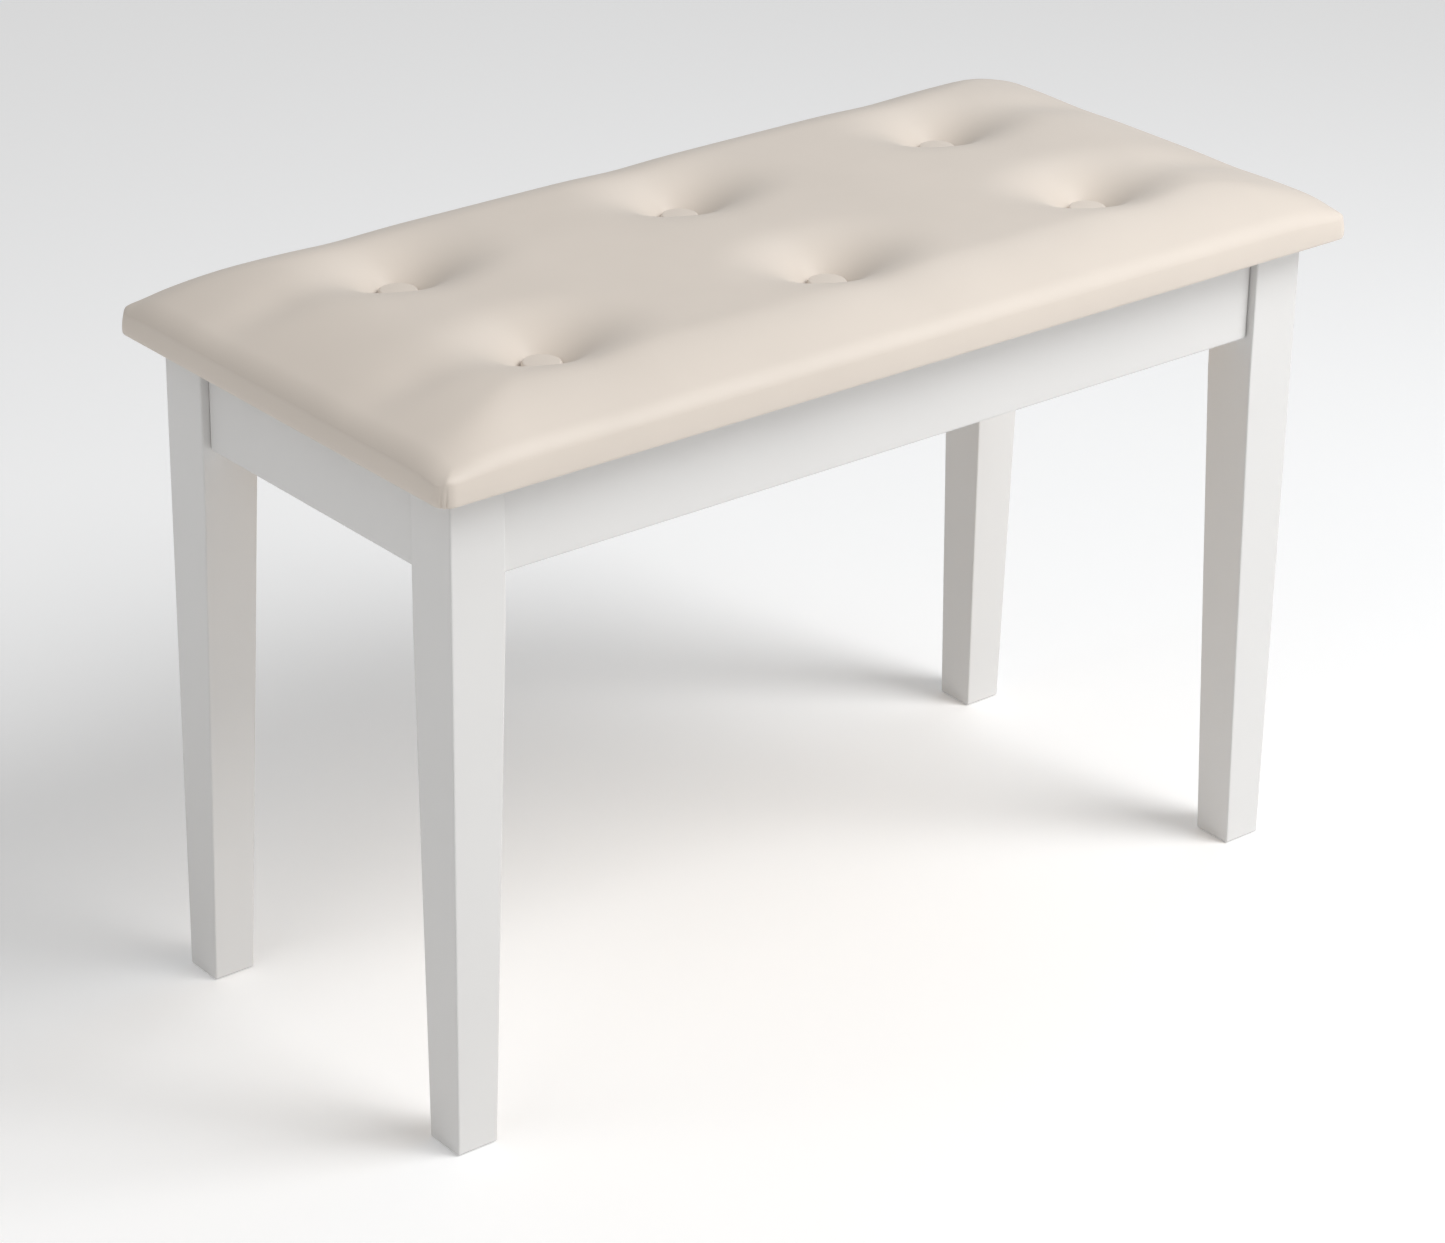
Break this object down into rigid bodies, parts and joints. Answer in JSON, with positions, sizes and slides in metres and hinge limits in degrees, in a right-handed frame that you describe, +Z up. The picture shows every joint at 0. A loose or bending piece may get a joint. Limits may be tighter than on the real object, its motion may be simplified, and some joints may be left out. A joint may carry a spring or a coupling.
{
  "type": "piano bench",
  "caption": "Wide piano bench with tapered square legs, an apron storage box and a hinged, button-tufted padded lid held by a folding stay.",
  "frame": {"origin": "on the floor under the middle of the seat", "axes": "+X along the bench's length, +Y to the hinged back edge, +Z up; the player's side is -Y"},
  "size_m": [0.746, 0.35, 0.497],
  "materials": {
    "white_lacquer": "white satin lacquer on solid wood",
    "plywood": "raw birch plywood",
    "cream_vinyl": "fine-grained cream upholstery vinyl, low sheen",
    "seat_foam": "open-cell upholstery foam",
    "lining_cloth": "black non-woven dust cloth",
    "zinc_steel": "zinc-plated steel",
    "nylon": "off-white nylon",
    "clear_rubber": "clear soft bumper"
  },
  "bodies": {
    "frame": {"apron_back": "white_lacquer", "apron_front": "white_lacquer", "apron_left": "white_lacquer", "apron_right": "white_lacquer", "bumper_back_left": "clear_rubber", "bumper_back_right": "clear_rubber", "bumper_front_left": "clear_rubber", "bumper_front_right": "clear_rubber", "corner_bracket_back_left": "zinc_steel", "corner_bracket_back_right": "zinc_steel", "corner_bracket_front_left": "zinc_steel", "corner_bracket_front_right": "zinc_steel", "glide_back_left": "nylon", "glide_back_right": "nylon", "glide_front_left": "nylon", "glide_front_right": "nylon", "hinge_left_box_leaf": "zinc_steel", "hinge_left_box_screw_left": "zinc_steel", "hinge_left_box_screw_right": "zinc_steel", "hinge_left_pin": "zinc_steel", "hinge_right_box_leaf": "zinc_steel", "hinge_right_box_screw_left": "zinc_steel", "hinge_right_box_screw_right": "zinc_steel", "hinge_right_pin": "zinc_steel", "leg_back_left": "white_lacquer", "leg_back_right": "white_lacquer", "leg_bolt_back_left_lower": "zinc_steel", "leg_bolt_back_left_upper": "zinc_steel", "leg_bolt_back_right_lower": "zinc_steel", "leg_bolt_back_right_upper": "zinc_steel", "leg_bolt_front_left_lower": "zinc_steel", "leg_bolt_front_left_upper": "zinc_steel", "leg_bolt_front_right_lower": "zinc_steel", "leg_bolt_front_right_upper": "zinc_steel", "leg_front_left": "white_lacquer", "leg_front_right": "white_lacquer", "stay_box_plate": "zinc_steel", "storage_floor": "plywood"},
    "lid": {"button_back_left": "cream_vinyl", "button_back_middle": "cream_vinyl", "button_back_right": "cream_vinyl", "button_front_left": "cream_vinyl", "button_front_middle": "cream_vinyl", "button_front_right": "cream_vinyl", "hinge_left_lid_leaf": "zinc_steel", "hinge_left_lid_screw_left": "zinc_steel", "hinge_left_lid_screw_right": "zinc_steel", "hinge_right_lid_leaf": "zinc_steel", "hinge_right_lid_screw_left": "zinc_steel", "hinge_right_lid_screw_right": "zinc_steel", "lid_board": "plywood", "lid_lining": "lining_cloth", "seat_cover": "cream_vinyl", "seat_foam": "seat_foam", "stay_lid_bracket": "zinc_steel"},
    "stay_lower": {"stay_lower_arm": "zinc_steel"},
    "stay_upper": {"stay_upper_arm": "zinc_steel"}
  },
  "joints": [
    {"name": "lid_hinge", "type": "hinge", "parent": "frame", "child": "lid", "pos_m": [0, 0.1503, 0.4504], "axis": [-1, 0, 0], "range_deg": [0, 90]},
    {"name": "stay_box_pivot", "type": "hinge", "parent": "frame", "child": "stay_lower", "pos_m": [-0.3274, 0.04, 0.425], "axis": [-1, 0, 0], "range_deg": [0, 90]},
    {"name": "stay_lid_pivot", "type": "hinge", "parent": "lid", "child": "stay_upper", "pos_m": [-0.3251, 0.0753, 0.4444], "axis": [-1, 0, 0], "range_deg": [-90, 0]}
  ],
  "couplings": [
    {"joint": "stay_box_pivot", "follows": "lid_hinge", "ratio": 1},
    {"joint": "stay_lid_pivot", "follows": "lid_hinge", "ratio": -1}
  ]
}
